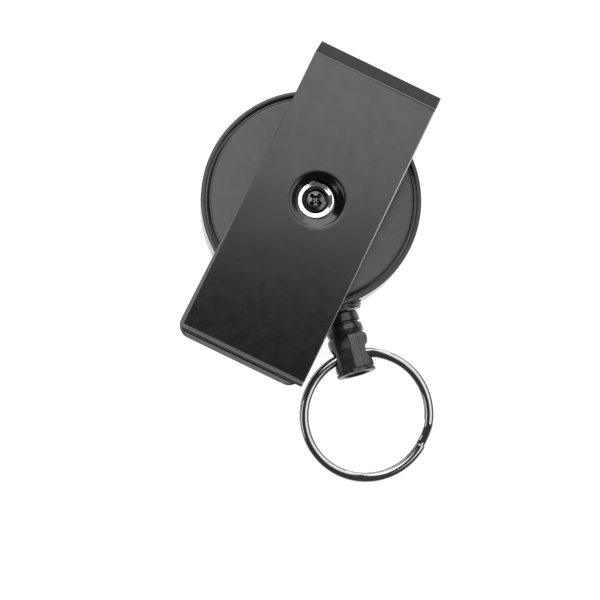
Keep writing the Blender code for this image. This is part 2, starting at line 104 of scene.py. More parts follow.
class Nodes:
    """A short way to add and join shader nodes."""

    def __init__(self, material):
        self.tree = material.node_tree
        self.shader = self.tree.nodes["Principled BSDF"]

    def add(self, kind, inputs=None, **settings):
        node = self.tree.nodes.new(kind)
        for key, value in settings.items():
            setattr(node, key, value)
        for key, value in (inputs or {}).items():
            if isinstance(value, bpy.types.NodeSocket):
                self.tree.links.new(value, node.inputs[key])
            else:
                node.inputs[key].default_value = value
        return node

    def noise(self, place, size, detail=3.0):
        """Noise with features about `size` metres across."""
        mapped = self.add(
            "ShaderNodeMapping",
            {"Vector": place, "Scale": (1 / size, 1 / size, 1 / size)},
        )
        found = self.add(
            "ShaderNodeTexNoise",
            {"Vector": mapped.outputs[0], "Scale": 1.0, "Detail": detail, "Roughness": 0.55},
        )
        return found.outputs["Fac"]

    def spread(self, value, low, high, new_low, new_high):
        found = self.add(
            "ShaderNodeMapRange",
            {"Value": value, 1: low, 2: high, 3: new_low, 4: new_high},
        )
        return found.outputs[0]

    def math(self, operation, a, b):
        return self.add("ShaderNodeMath", {0: a, 1: b}, operation=operation).outputs[0]

    def blend(self, factor, a, b):
        found = self.add("ShaderNodeMix", {0: factor, 6: a, 7: b}, data_type="RGBA")
        return found.outputs[2]


def shade(colour, factor=1.0):
    return (*(min(1.0, c * factor) for c in colour), 1.0)


def finish_of(
    name,
    colour,
    metallic,
    roughness,
    grain=(0.00025, 0.000006),
    mottle=0.12,
    rough_spread=0.06,
    edge_wear_and_glint=0.0,
    wear_and_highlight_colour=(0.5, 0.5, 0.5),
    edge_tint=1.0,
    painted_highlight_from=None,
):
    """A moulded, coated or plated finish: grain, mottling, and lighter sharp edges, which are wear and on
    the screw also painted glints.

    The last argument gives the distance across the clip and the height past which a painted highlight line
    is laid.
    """
    material = bpy.data.materials.new(name)
    material.use_nodes = True
    n = Nodes(material)
    shader = n.shader
    shader.inputs["Metallic"].default_value = metallic
    shader.inputs["Specular Tint"].default_value = (edge_tint, edge_tint, edge_tint, 1.0)
    place = n.add("ShaderNodeTexCoord").outputs["Object"]
    cloud = n.noise(place, 0.006, 4.0)
    tint = n.blend(
        n.spread(cloud, 0.3, 0.7, 0.0, 1.0),
        shade(colour, 1.0 - mottle),
        shade(colour, 1.0 + mottle),
    )
    smears = n.noise(place, 0.0021, 5.0)
    rough = n.spread(smears, 0.3, 0.7, roughness - rough_spread, roughness + rough_spread)
    size, depth = grain
    height = n.noise(place, size, 2.0)
    # Lighter colour on sharp edges: real wear, and on the screw also painted glints
    if edge_wear_and_glint:
        edge = n.add("ShaderNodeNewGeometry").outputs["Pointiness"]
        worn_and_glinting_edges = n.spread(edge, 0.53, 0.60, 0.0, edge_wear_and_glint)
        patchy = n.spread(n.noise(place, 0.0012, 4.0), 0.4, 0.62, 0.0, 1.0)
        tint = n.blend(n.math("MULTIPLY", worn_and_glinting_edges, patchy), tint, shade(wear_and_highlight_colour))
    # Painted highlight: a lighter band of colour along one edge of the clip's outer leaf, where light
    # catches that edge
    if painted_highlight_from:
        edge_u, edge_z = painted_highlight_from
        along = n.add("ShaderNodeVectorMath", {0: place, 1: CLIP_ACROSS}, operation="DOT_PRODUCT")
        apart = n.add("ShaderNodeSeparateXYZ", {0: place})
        past = n.spread(along.outputs["Value"], edge_u - 0.00004, edge_u + 0.00004, 0.0, 1.0)
        above = n.spread(apart.outputs["Z"], edge_z - 0.0001, edge_z + 0.0001, 0.0, 1.0)
        tint = n.blend(n.math("MULTIPLY", past, above), tint, shade(wear_and_highlight_colour))
    bump = n.add("ShaderNodeBump", {"Height": height, "Distance": depth, "Strength": 1.0})
    n.tree.links.new(tint, shader.inputs["Base Color"])
    n.tree.links.new(rough, shader.inputs["Roughness"])
    n.tree.links.new(bump.outputs[0], shader.inputs["Normal"])
    return material


def cord_finish(name, colour):
    """A braided cord: crossing diagonal ribs and loose fibres, painted darker between the ribs and lighter
    on their tops as shade and highlight.
    """
    material = bpy.data.materials.new(name)
    material.use_nodes = True
    n = Nodes(material)
    place = n.add("ShaderNodeTexCoord").outputs["Object"]
    ribs = []
    for turn in (0.62, -0.62):
        mapped = n.add(
            "ShaderNodeMapping",
            {"Vector": place, "Scale": (900.0, 900.0, 900.0), "Rotation": (turn, 0.0, turn)},
        )
        wave = n.add("ShaderNodeTexWave", {"Vector": mapped.outputs[0], "Scale": 0.9, "Distortion": 0.6})
        ribs.append(wave.outputs["Fac"])
    braid = n.math("MAXIMUM", ribs[0], ribs[1])
    fibres = n.noise(place, 0.00012, 3.0)
    height = n.math("ADD", braid, n.math("MULTIPLY", fibres, 0.35))
    # Painted shade and highlight: the braid is darker down between its ribs and lighter on their tops
    tint = n.blend(n.spread(height, 0.3, 1.2, 0.0, 1.0), shade(colour, 0.45), shade(colour, 1.5))
    rough = n.spread(fibres, 0.3, 0.7, 0.72, 0.92)
    bump = n.add("ShaderNodeBump", {"Height": height, "Distance": 0.00006, "Strength": 1.0})
    n.tree.links.new(tint, n.shader.inputs["Base Color"])
    n.tree.links.new(rough, n.shader.inputs["Roughness"])
    n.tree.links.new(bump.outputs[0], n.shader.inputs["Normal"])
    return material


FINISHES = {
    "shell_plastic": finish_of(
        "shell_plastic", (0.008, 0.008, 0.0085), 0.0, 0.14, (0.0003, 0.0000015), rough_spread=0.03, edge_wear_and_glint=0.2,
        wear_and_highlight_colour=(0.06, 0.06, 0.062),
    ),
    "cover_plate": finish_of(
        "cover_plate", (0.010, 0.010, 0.0105), 0.0, 0.23, (0.00025, 0.000002), 0.3, 0.025,
    ),
    # Clip: its 0.25 grey is only the colour of the painted highlight line on the outer leaf's edge
    "clip_steel": finish_of(
        "clip_steel", (0.045, 0.045, 0.046), 1.0, 0.17, (0.0004, 0.0000015), 0.05, 0.02,
        wear_and_highlight_colour=(0.25, 0.25, 0.25), edge_tint=0.46, painted_highlight_from=(HIGHLIGHT_LINE_U, HIGHLIGHT_LINE_Z),
    ),
    "fitting_plastic": finish_of(
        "fitting_plastic", (0.010, 0.010, 0.0105), 0.0, 0.26, (0.0003, 0.000007), 0.3, 0.07,
        edge_wear_and_glint=0.3, wear_and_highlight_colour=(0.08, 0.08, 0.08),
    ),
    "dark_chrome": finish_of(
        "dark_chrome", (0.30, 0.30, 0.31), 1.0, 0.10, (0.0008, 0.0000015), 0.08, 0.03,
    ),
    "bright_nickel": finish_of(
        "bright_nickel", (0.82, 0.82, 0.80), 1.0, 0.16, (0.0006, 0.000002), 0.05, 0.04,
    ),
    "zinc_steel": finish_of(
        "zinc_steel", (0.30, 0.30, 0.31), 1.0, 0.17, (0.0004, 0.000004), 0.15, 0.05,
    ),
    # Screw: the lighter colour on its sharp edges is wear and also painted glints
    "screw_black": finish_of(
        "screw_black", (0.075, 0.075, 0.077), 1.0, 0.2, (0.0004, 0.000004), 0.2, 0.05,
        edge_wear_and_glint=0.8, wear_and_highlight_colour=(0.45, 0.45, 0.45),
    ),
    "spring_steel": finish_of(
        "spring_steel", (0.15, 0.17, 0.23), 0.9, 0.28, (0.0005, 0.000003), 0.25, 0.06,
    ),
    "brass": finish_of("brass", (0.62, 0.46, 0.20), 1.0, 0.26, (0.0004, 0.000004), 0.1, 0.06),
    "acetal": finish_of("acetal", (0.72, 0.72, 0.67), 0.0, 0.40, (0.0004, 0.000005), 0.04, 0.06),
    "cord": cord_finish("cord", (0.028, 0.028, 0.030)),
}

# ---------------------------------------------------------------- shape helpers


def rounded(corners, closed=False, steps=5):
    """Corners (x, y, radius), each rounded to its radius, as a list of (x, y)."""
    points = []
    count = len(corners)
    for k, corner in enumerate(corners):
        here = Vector(corner[:2])
        radius = corner[2] if len(corner) > 2 else 0.0
        at_end = not closed and k in (0, count - 1)
        if radius <= 0.0 or at_end:
            points.append(tuple(here))
            continue
        back = Vector(corners[k - 1][:2]) - here
        on = Vector(corners[(k + 1) % count][:2]) - here
        half = back.angle(on) / 2
        reach = min(radius / math.tan(half), 0.49 * back.length, 0.49 * on.length)
        radius = reach * math.tan(half)
        centre = here + (back.normalized() + on.normalized()).normalized() * (radius / math.sin(half))
        first = here + back.normalized() * reach - centre
        swing = first.angle_signed(here + on.normalized() * reach - centre)
        for s in range(steps + 1):
            points.append(tuple(centre + Matrix.Rotation(-swing * s / steps, 2) @ first))
    return points


def with_supports(points, closed=True, margin=0.05):
    """Adds a point close to each end of every long straight run, so shading stays flat on it."""
    result = []
    count = len(points)
    for k, point in enumerate(points):
        result.append(point)
        if k == count - 1 and not closed:
            break
        a = Vector(point)
        b = Vector(points[(k + 1) % count])
        length = (b - a).length
        if length > 6 * margin:
            result.append(tuple(a.lerp(b, margin / length)))
            result.append(tuple(b.lerp(a, margin / length)))
    return result


def lathe(profile, segments, place=None):
    """A closed body turned about Z from a closed profile of (radius, height)."""
    bm = bmesh.new()
    rows = []
    for radius, height in profile:
        if radius < 1e-5:
            rows.append([bm.verts.new((0.0, 0.0, height))])
            continue
        turns = (2 * math.pi * k / segments for k in range(segments))
        rows.append([bm.verts.new((radius * math.cos(a), radius * math.sin(a), height)) for a in turns])
    for low, high in zip(rows, rows[1:] + rows[:1]):
        if len(low) == 1 and len(high) == 1:
            continue
        for k in range(segments):
            n = (k + 1) % segments
            loop = [low[k % len(low)], low[n % len(low)], high[n % len(high)], high[k % len(high)]]
            bm.faces.new(list(dict.fromkeys(loop)))
    if place is not None:
        bm.transform(place)
    bmesh.ops.recalc_face_normals(bm, faces=bm.faces)
    return bm


def piece_from(bm, name, slot, smooth_angle=32.0):
    """Turns a bmesh in millimetres into a smooth-shaded object in metres."""
    bm.transform(Matrix.Scale(MM, 4))
    bmesh.ops.recalc_face_normals(bm, faces=bm.faces)
    mesh = bpy.data.meshes.new(name)
    bm.to_mesh(mesh)
    bm.free()
    mesh.materials.append(FINISHES[slot])
    mesh.polygons.foreach_set("use_smooth", [True] * len(mesh.polygons))
    mesh.set_sharp_from_angle(angle=math.radians(smooth_angle))
    piece = bpy.data.objects.new(name, mesh)
    bpy.context.scene.collection.objects.link(piece)
    return piece


def settle(piece):
    """Applies the piece's modifiers to its mesh."""
    bpy.context.view_layer.update()
    seen = piece.evaluated_get(bpy.context.evaluated_depsgraph_get())
    mesh = bpy.data.meshes.new_from_object(seen)
    piece.modifiers.clear()
    piece.data = mesh


def cut(piece, cutters, smooth_angle=32.0):
    """Cuts bmesh bodies, in millimetres, out of a piece."""
    for bm in cutters:
        bm.transform(Matrix.Scale(MM, 4))
        mesh = bpy.data.meshes.new("cutter")
        bm.to_mesh(mesh)
        bm.free()
        cutter = bpy.data.objects.new("cutter", mesh)
        bpy.context.scene.collection.objects.link(cutter)
        step = piece.modifiers.new("cut", "BOOLEAN")
        step.operation = "DIFFERENCE"
        step.solver = "EXACT"
        step.object = cutter
        settle(piece)
        bpy.data.objects.remove(cutter, do_unlink=True)
    piece.data.polygons.foreach_set("use_smooth", [True] * len(piece.data.polygons))
    piece.data.set_sharp_from_angle(angle=math.radians(smooth_angle))


def carry(piece, body, *nodes):
    """The piece rides on a body and stands for CAD nodes."""
    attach(piece, body)
    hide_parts(*nodes)


# ---------------------------------------------------------------- case

SEAT_R = COVER_R + 0.3
SHELL_BORE = 20.6
SHELL_FLOOR = 1.6
SEAT_Z = 11.1
FRONT_ROUND = 4.9
TURNED_STEPS = 288
shell_profile = rounded(
    [
        (0.0, 0.0),
        (16.6, 0.0, 0.3),
        (17.0, 0.12, 0.3),
        (CASE_R, 0.12, FRONT_ROUND),
        (CASE_R, CASE_TOP - 3.0, 0.0),
        (CASE_R, CASE_TOP, 0.42),
        (SEAT_R + 0.42, CASE_TOP, 0.12),
        (SEAT_R + 0.34, CASE_TOP - 0.09, 0.05),
        (SEAT_R + 0.2, CASE_TOP - 0.09, 0.1),
        (SEAT_R, CASE_TOP - 0.3, 0.1),
        (SEAT_R, SEAT_Z, 0.0),
        (SHELL_BORE, SEAT_Z, 0.2),
        (SHELL_BORE, SHELL_FLOOR, 1.2),
        (0.0, SHELL_FLOOR),
    ],
    steps=8,
)
shell_body = lathe(with_supports(shell_profile, closed=False), TURNED_STEPS)
shell = piece_from(shell_body, "front_shell_moulding", "shell_plastic")
outlet_profile = rounded([(0, 18), (2.6, 18), (2.6, 22.3, 0.0), (2.6, 24), (0, 24)])
face_profile = [(0, 21.7), (5.05, 21.7), (5.05, 24), (0, 24)]
cut(shell, [lathe(outlet_profile, 96, ALONG_CORD), lathe(face_profile, 128, ALONG_CORD)])
carry(shell, "case", "front_shell")

cover_profile = rounded(
    [
        (0.0, COVER_LOW),
        (COVER_R, COVER_LOW, 0.08),
        (COVER_R, CASE_TOP - 0.42, 0.12),
        (COVER_R - 0.28, CASE_TOP - 0.30, 0.2),
        (COVER_R - 0.50, CASE_TOP - 0.05, 0.12),
        (COVER_R - 0.75, CASE_TOP - 0.05, 0.1),
        (COVER_R - 0.85, CASE_TOP, 0.1),
        (0.0, CASE_TOP),
    ],
    steps=6,
)
cover_body = lathe(with_supports(cover_profile, closed=False), TURNED_STEPS)
cover = piece_from(cover_body, "back_cover_plate", "cover_plate")
screw_way = rounded([(0, 10.5), (1.5, 10.5), (1.5, 12.3), (1.8, 12.8), (0, 12.8)])
cut(cover, [lathe(screw_way, 64, ON_SPINDLE)])
carry(cover, "case", "back_cover")

bushing_profile = rounded(
    [
        (2.3, 20.9, 0.1),
        (2.3, 22.0),
        (4.6, 22.0, 0.2),
        (4.75, 22.25, 0.15),
        (4.75, 22.75, 0.1),
        (4.45, 22.95, 0.1),
        (4.45, 23.4, 0.15),
        (3.2, 23.4, 0.1),
        (3.1, 23.25, 0.1),
        (2.0, 23.25, 0.1),
        (0.95, 22.7, 0.5),
        (0.95, 21.4, 0.2),
        (1.3, 20.9, 0.1),
    ],
    closed=True,
)
bushing_body = lathe(with_supports(bushing_profile), 144, ALONG_CORD)
bushing = piece_from(bushing_body, "outlet_collar", "fitting_plastic")
carry(bushing, "case", "outlet_bushing")

# ---------------------------------------------------------------- screw stack

cup_profile = rounded(
    [
        (1.62, 14.9, 0.03),
        (3.3, 14.9, 0.1),
        (3.6, 15.1, 0.1),
        (3.8, 15.4, 0.12),
        (3.8, 16.0, 0.1),
        (3.66, 16.15, 0.07),
        (3.47, 16.15, 0.07),
        (2.85, 15.87, 0.05),
        (2.72, 15.785, 0.04),
        (1.62, 14.96, 0.02),
    ],
    closed=True,
    steps=6,
)
cup_body = lathe(with_supports(cup_profile, margin=0.03), 160, ON_SPINDLE)
cup = piece_from(cup_body, "cup_washer_pressing", "bright_nickel")
carry(cup, "case", "cup_washer")

screw_profile = rounded(
    [
        (0.0, 7.0),
        (0.8, 7.0, 0.1),
        (1.1, 7.4, 0.1),
        (1.1, 14.95, 0.1),
        (2.3, 15.85, 0.05),
        (2.4, 15.97, 0.06),
        (2.3, 16.1, 0.1),
        (1.7, 16.3, 0.6),
        (1.2, 16.38, 0.6),
        (0.0, 16.44),
    ],
    steps=6,
)
screw_body = lathe(with_supports(screw_profile, closed=False, margin=0.04), 160, ON_SPINDLE)
screw = piece_from(screw_body, "clip_screw_head", "screw_black")


def cross_body(arm_top, arm_low, side_top, side_low, top, low, turn):
    """A cross-shaped body that narrows downwards."""
    bm = bmesh.new()
    rows = []
    for arm, side, height in ((arm_low, side_low, low), (arm_top, side_top, top)):
        loop = []
        for quarter in range(4):
            c = math.cos(math.pi / 2 * quarter)
            s = math.sin(math.pi / 2 * quarter)
            for x, y in ((arm, -side), (arm, side), (side, side)):
                loop.append(bm.verts.new((x * c - y * s, x * s + y * c, height)))
        rows.append(loop)
    bottom, upper = rows
    bm.faces.new(bottom[::-1])
    bm.faces.new(upper)
    count = len(upper)
    for k in range(count):
        n = (k + 1) % count
        bm.faces.new([bottom[k], bottom[n], upper[n], upper[k]])
    bm.transform(ON_SPINDLE @ Matrix.Rotation(turn, 4, "Z"))
    bmesh.ops.recalc_face_normals(bm, faces=bm.faces)
    return bm


RECESS_TURN = math.radians(30.2)
RECESS_TOP = 16.9
cross = cross_body(
    arm_top=1.96,
    arm_low=0.55,
    side_top=0.535,
    side_low=0.12,
    top=RECESS_TOP,
    low=15.3,
    turn=RECESS_TURN,
)
cone_profile = [(0.0, 15.2), (0.62, 15.6), (0.86, RECESS_TOP), (0.0, RECESS_TOP)]
cut(screw, [cross, lathe(cone_profile, 48, ON_SPINDLE)], 28.0)
carry(screw, "case", "clip_screw")

# ---------------------------------------------------------------- end fitting

fitting_profile = rounded(
    [
        (0.8, FITTING_START, 0.1),
        (3.2, FITTING_START, 0.2),
        (3.5, FITTING_START + 0.3, 0.3),
        (3.6, 25.7, 0.12),
        (3.15, 25.88, 0.12),
        (3.15, 26.16, 0.12),
        (3.7, 26.36, 0.15),
        (3.85, 27.5, 0.12),
        (3.55, 27.68, 0.07),
        (3.85, 27.93, 0.08),
        (3.4, 28.23, 0.1),
        (3.95, 28.7, 0.3),
        (4.12, 29.3, 0.7),
        (4.0, 30.1, 1.2),
        (3.85, 31.3, 1.2),
        (3.85, 33.4, 3.0),
        (4.0, 35.5, 0.12),
        (3.75, 35.64, 0.06),
        (3.75, 35.8, 0.06),
        (4.05, 35.94, 0.1),
        (4.05, 36.35, 0.12),
        (3.9, FITTING_END, 0.1),
        (2.85, FITTING_END, 0.12),
        (2.6, 36.1, 0.2),
        (2.6, 29.9, 0.3),
        (1.9, 29.6, 0.1),
        (1.9, 26.9, 0.1),
        (0.8, 26.6, 0.1),
    ],
    closed=True,
    steps=5,
)


def even(points, longest):
    """Splits the long runs of a closed outline."""
    result = []
    for k, point in enumerate(points):
        a = Vector(point)
        b = Vector(points[(k + 1) % len(points)])
        parts = max(1, math.ceil((b - a).length / longest))
        result += [tuple(a.lerp(b, s / parts)) for s in range(parts)]
    return result


FACETS = ((112, 21), (77, 13), (40, 24))  # direction and half width of each flat, in degrees
FACETS_FROM = 28.45
FACETS_TO = 35.6


def ease(value):
    value = min(max(value, 0.0), 1.0)
    return value * value * (3 - 2 * value)


def faceted(angle, along):
    """The share of the radius left where the fitting's back and front are flattened."""
    depth = ease((along - FACETS_FROM) / 0.25) * (1 - ease((along - FACETS_TO + 0.1) / 0.1))
    turn = abs(math.degrees(math.remainder(angle, 2 * math.pi)))
    kept = 1.0
    for direction, half in FACETS:
        if abs(turn - direction) <= half:
            kept = math.cos(math.radians(half)) / math.cos(math.radians(turn - direction))
    return 1 - depth * (1 - kept)


FITTING_BORE = 2.6
EYE_R = 2.0
EYE_REACH = 4.8
bm = lathe(even(fitting_profile, 0.16), 240)
for vertex in bm.verts:
    x, y, along = vertex.co
    if math.hypot(x, y) > FITTING_BORE + 0.35:
        kept = faceted(math.atan2(y, x), along)
        vertex.co.x *= kept
        vertex.co.y *= kept
bm.transform(ALONG_FITTING)
fitting = piece_from(bm, "end_fitting_moulding", "fitting_plastic", 40.0)
across = Matrix.Translation(EYE) @ Matrix.Rotation(math.radians(90), 4, "Y")
eye_profile = [(0, -EYE_REACH), (EYE_R, -EYE_REACH), (EYE_R, EYE_REACH), (0, EYE_REACH)]
cut(fitting, [lathe(eye_profile, 96, across)], 40.0)
carry(fitting, "end_fitting", "end_fitting")

# ---------------------------------------------------------------- split ring

RING_R = 12.9
RING_DROOP = math.radians(12.6)
WIRE_WIDE = 1.8
WIRE_TALL = 1.0
WIRE_PITCH = 1.15
RING_STEP_AT = -31.5
RING_STEP = 20.0
RING_AROUND = 240
WIRE_AROUND = 40
WIRE_POWER = 2.05  # 2 is an oval, more is squarer
WIRE_ENDS = ((0.0, 0.86), (0.05, 0.96), (0.12, 1.0))  # distance from the wire's end, share of its size
PER_RADIAN = 57.3  # degrees


def section_of(wide, tall, power):
    """A rounded wire section between an oval and a rectangle, anticlockwise."""
    points = []
    for k in range(WIRE_AROUND):
        angle = 2 * math.pi * k / WIRE_AROUND
        c = math.cos(angle)
        d = math.sin(angle)
        x = math.copysign(abs(c) ** (2 / power), c) * wide / 2
        y = math.copysign(abs(d) ** (2 / power), d) * tall / 2
        points.append((x, y))
    return points


bm = bmesh.new()
first = RING_STEP_AT + RING_STEP / 2 + 2
last = RING_STEP_AT + 720 - RING_STEP / 2 - 2
count = round(RING_AROUND * (last - first) / 360)
wire_section = section_of(WIRE_WIDE, WIRE_TALL, WIRE_POWER)
rows = []
stations = [(first + offset / RING_R * PER_RADIAN, size) for offset, size in WIRE_ENDS]
stations += [(first + (last - first) * k / count, 1.0) for k in range(1, count)]
stations += [(last - offset / RING_R * PER_RADIAN, size) for offset, size in WIRE_ENDS[::-1]]
for degrees, size in stations:
    climb = ease((degrees - (RING_STEP_AT + 360 - RING_STEP / 2)) / RING_STEP)
    lift = WIRE_PITCH * (climb - 0.5)
    angle = math.radians(degrees)
    middle = Vector((RING_R * math.cos(angle), RING_R * math.sin(angle) - RING_R, lift))
    out = Vector((math.cos(angle), math.sin(angle), 0.0))
    rows.append([bm.verts.new(middle + out * a * size + Vector((0, 0, b * size))) for a, b in wire_section])
for low, high in zip(rows, rows[1:]):
    for k in range(len(wire_section)):
        n = (k + 1) % len(wire_section)
        bm.faces.new([low[k], low[n], high[n], high[k]])
bm.faces.new(rows[0])
bm.faces.new(rows[-1])
bm.transform(Matrix.Translation(EYE) @ Matrix.Rotation(RING_DROOP, 4, "X"))
ring = piece_from(bm, "split_ring_wire", "dark_chrome", 40.0)
carry(ring, "ring", "split_ring")

# ---------------------------------------------------------------- belt clip

THICK = SHEET_TOP - SHEET_LOW
SHEET_EDGE = 0.2
INNER_SHIFT = -0.4
INNER_END = -36.4
INNER_CORNER = 2.8
LEAF_CORNER = 0.35
SHEET_MIDDLE = (SHEET_LOW + SHEET_TOP) / 2
LINE = [
    (INNER_END, SHEET_MIDDLE, 0.0),
    (30.35, SHEET_MIDDLE, 0.75),
    (26.1, 22.05, 0.75),
    (-34.6, 15.485, 1.2),
    (-35.35, 15.8, 0.0),
]
DIMPLE = Vector((0.4, -0.4))
DIMPLE_SIDE = [(6.3, 0.0), (5.6, 0.0, 0.9), (4.6, 0.62, 1.2), (4.05, 0.9)]  # radius, depth
DIMPLE_CIRCLES = [(7.1, 0.0)] + rounded(DIMPLE_SIDE, steps=8)
HOLE_CIRCLES = [(3.4, 0.0), (2.9, 0.0), (2.5, 0.0)]
PATCH = 8.0
DIVIDE = 32


class SheetLine:
    """The sheet's middle line, seen from the side, by distance along it."""

    def __init__(self, corners):
        self.parts = []
        self.length = 0.0
        here = Vector(corners[0][:2])
        for k in range(1, len(corners)):
            corner = Vector(corners[k][:2])
            if k == len(corners) - 1:
                self.straight(here, corner)
                break
            back = (here - corner).normalized()
            on = (Vector(corners[k + 1][:2]) - corner).normalized()
            half = back.angle(on) / 2
            radius = corners[k][2]
            reach = radius / math.tan(half)
            start = corner + back * reach
            self.straight(here, start)
            centre = corner + (back + on).normalized() * (radius / math.sin(half))
            spoke = start - centre
            swing = -spoke.angle_signed(corner + on * reach - centre)
            self.parts.append((self.length, self.length + radius * abs(swing), "arc", centre, spoke, swing))
            self.length += radius * abs(swing)
            here = corner + on * reach

    def straight(self, a, b):
        size = (b - a).length
        self.parts.append((self.length, self.length + size, "line", a, b, 0.0))
        self.length += size

    def at(self, s):
        """Point and normal at distance s. The normal points into the slot."""
        for low, high, kind, a, b, swing in self.parts:
            if s <= high + 1e-9 or high == self.length:
                break
        share = (s - low) / (high - low)
        if kind == "line":
            ahead = (b - a).normalized()
            return a.lerp(b, share), Vector((-ahead.y, ahead.x))
        spoke = Matrix.Rotation(swing * share, 2) @ b
        inward = -spoke.normalized() if swing > 0 else spoke.normalized()
        return a + spoke, inward


line = SheetLine(LINE)
inner_straight, lower_bend, web, upper_bend, outer_straight, lip_bend, lip = line.parts
FOLD_S = inner_straight[1]
hole_s = -INNER_END
leaf_run = (outer_straight[3] - outer_straight[4]).normalized()
dimple_s = outer_straight[0] + (outer_straight[3].x - DIMPLE.y) / leaf_run.x


def spread(a, b, parts):
    return [a + (b - a) * k / parts for k in range(parts)]


corner_rows = [INNER_CORNER * (1 - math.cos(math.radians(90 * k / 9))) for k in range(9)]
row_places = corner_rows
row_places += spread(INNER_CORNER, hole_s - PATCH, 14)
row_places += spread(hole_s - PATCH, hole_s + PATCH, DIVIDE)
row_places += spread(hole_s + PATCH, inner_straight[1], 10)
row_places += spread(lower_bend[0], lower_bend[1], 12)
row_places += spread(web[0], web[1], 8)
row_places += spread(upper_bend[0], upper_bend[1], 12)
row_places += spread(outer_straight[0], dimple_s - PATCH, 10)
row_places += spread(dimple_s - PATCH, dimple_s + PATCH, DIVIDE)
row_places += spread(dimple_s + PATCH, outer_straight[1], 14)
row_places += spread(lip_bend[0], lip_bend[1], 8)
row_places += spread(lip[0], lip[1], 3) + [lip[1]]
columns = spread(-CLIP_HALF, -PATCH, 5) + spread(-PATCH, PATCH, DIVIDE) + spread(PATCH, CLIP_HALF, 5)
columns += [CLIP_HALF]


def shift_at(s):
    """How far the sheet's middle is to one side at distance s."""
    share = min(1.0, max(0.0, (s - INNER_CORNER) / (FOLD_S - INNER_CORNER)))
    return INNER_SHIFT + (OUTER_SHIFT - INNER_SHIFT) * share


def narrowed(u, s):
    """Draws the edge columns in round the inner leaf's two corners and the outer leaf's small ones."""
    inset = 0.0
    if s < INNER_CORNER:
        reach = 1 - s / INNER_CORNER
        inset = INNER_CORNER * (1 - math.sqrt(max(0.0, 1 - reach * reach)))
    from_end = line.length - s
    if from_end < LEAF_CORNER:
        reach = 1 - from_end / LEAF_CORNER
        inset = LEAF_CORNER * (1 - math.sqrt(max(0.0, 1 - reach * reach)))
    if inset == 0.0 or abs(u) <= PATCH:
        return u
    share = (abs(u) - PATCH) / (CLIP_HALF - PATCH)
    return math.copysign(PATCH + share * (CLIP_HALF - inset - PATCH), u)


bm = bmesh.new()


def sheet_point(u, s, depth=0.0):
    middle, normal = line.at(s)
    spot = middle + normal * depth
    return bm.verts.new((u + shift_at(s), spot.x, spot.y))


grid = []
for s in row_places:
    grid.append([sheet_point(narrowed(u, s), s) for u in columns])


def index_of(values, wanted):
    return min(range(len(values)), key=lambda k: abs(values[k] - wanted))


c0 = index_of(columns, -PATCH)
c1 = index_of(columns, PATCH)
patches = []
for centre_s, centre_x, circles in ((hole_s, 0.0, HOLE_CIRCLES), (dimple_s, DIMPLE.x, DIMPLE_CIRCLES)):
    r0 = index_of(row_places, centre_s - PATCH)
    r1 = index_of(row_places, centre_s + PATCH)
    patches.append((r0, r1, centre_s, centre_x, circles))


def in_patch(r, c):
    return c0 <= c < c1 and any(r0 <= r < r1 for r0, r1, *_ in patches)


for r in range(len(row_places) - 1):
    for c in range(len(columns) - 1):
        if not in_patch(r, c):
            bm.faces.new([grid[r][c], grid[r][c + 1], grid[r + 1][c + 1], grid[r + 1][c]])

for r0, r1, centre_s, centre_x, circles in patches:
    rim = [(r0, c) for c in range(c0, c1)] + [(r, c1) for r in range(r0, r1)]
    rim += [(r1, c) for c in range(c1, c0, -1)] + [(r, c0) for r in range(r1, r0, -1)]
    outer = [grid[r][c] for r, c in rim]
    spots = [(columns[c], row_places[r]) for r, c in rim]
    corner_angle = math.atan2(-PATCH, -PATCH)
    rings = [outer]
    big_r = circles[0][0]
    for share in (0.35, 0.7):
        row = []
        for k, (u, s) in enumerate(spots):
            angle = corner_angle + 2 * math.pi * k / len(spots)
            cs = centre_s + big_r * math.sin(angle)
            cu = centre_x + big_r * math.cos(angle) - shift_at(cs)
            row.append(sheet_point(u + (cu - u) * share, s + (cs - s) * share))
        rings.append(row)
    for radius, depth in circles:
        row = []
        for k in range(len(spots)):
            angle = corner_angle + 2 * math.pi * k / len(spots)
            cs = centre_s + radius * math.sin(angle)
            row.append(sheet_point(centre_x + radius * math.cos(angle) - shift_at(cs), cs, depth))
        rings.append(row)
    for a, b in zip(rings, rings[1:]):
        for k in range(len(a)):
            n = (k + 1) % len(a)
            bm.faces.new([a[k], a[n], b[n], b[k]])
loose = [v for v in bm.verts if not v.link_faces]
bmesh.ops.delete(bm, geom=loose, context="VERTS")
bm.transform(TURN_CLIP)
clip = piece_from(bm, "belt_clip_sheet", "clip_steel", 180.0)
thicken = clip.modifiers.new("thicken", "SOLIDIFY")
thicken.thickness = THICK * MM
thicken.offset = 0.0
thicken.use_even_offset = True
soften = clip.modifiers.new("soften", "BEVEL")
soften.width = SHEET_EDGE * MM
soften.segments = 4
soften.limit_method = "ANGLE"
soften.angle_limit = math.radians(50)
settle(clip)
clip.data.polygons.foreach_set("use_smooth", [True] * len(clip.data.polygons))
weigh = clip.modifiers.new("weigh", "WEIGHTED_NORMAL")
weigh.mode = "FACE_AREA"
weigh.weight = 80
settle(clip)
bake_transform(clip)
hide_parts("clip_inner_leaf", "clip_outer_leaf")

# ---------------------------------------------------------------- cord

